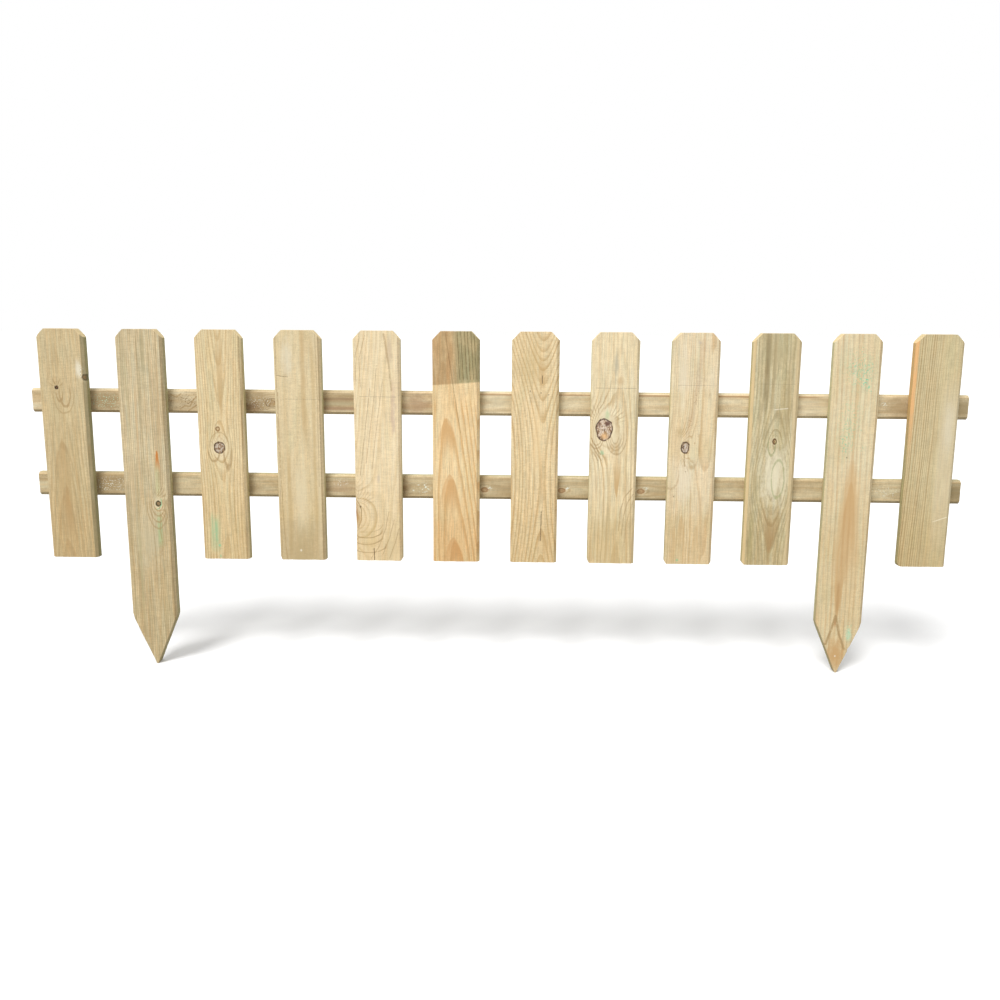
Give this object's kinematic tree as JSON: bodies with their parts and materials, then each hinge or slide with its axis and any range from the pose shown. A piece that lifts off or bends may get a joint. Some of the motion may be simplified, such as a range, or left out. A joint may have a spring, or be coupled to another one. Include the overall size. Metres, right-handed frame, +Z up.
{
  "type": "picket fence panel",
  "caption": "Low garden fence panel of dog-eared softwood pickets on two rails, with two longer pointed stakes that are driven into the ground.",
  "frame": {"origin": "on the front face of the left stake, on its centre line, at the ground line, level with the ends of the short pickets", "axes": "+X along the panel, to the right seen from the front; +Y from the front faces of the boards towards the rails; +Z up along the boards"},
  "size_m": [1.1, 0.028, 0.405],
  "materials": {
    "board_wood": "planed pressure-treated softwood, dry and matt",
    "rail_wood": "planed pressure-treated softwood, dry and matt",
    "nail_steel": "dull galvanised wire nail"
  },
  "bodies": {
    "root": {"picket_01": "board_wood", "stake_left": "board_wood", "picket_03": "board_wood", "picket_04": "board_wood", "picket_05": "board_wood", "picket_06": "board_wood", "picket_07": "board_wood", "picket_08": "board_wood", "picket_09": "board_wood", "picket_10": "board_wood", "stake_right": "board_wood", "picket_12": "board_wood", "upper_rail": "rail_wood", "lower_rail": "rail_wood", "nails_picket_01": "nail_steel", "nails_stake_left": "nail_steel", "nails_picket_03": "nail_steel", "nails_picket_04": "nail_steel", "nails_picket_05": "nail_steel", "nails_picket_06": "nail_steel", "nails_picket_07": "nail_steel", "nails_picket_08": "nail_steel", "nails_picket_09": "nail_steel", "nails_picket_10": "nail_steel", "nails_stake_right": "nail_steel", "nails_picket_12": "nail_steel"}
  },
  "joints": []
}
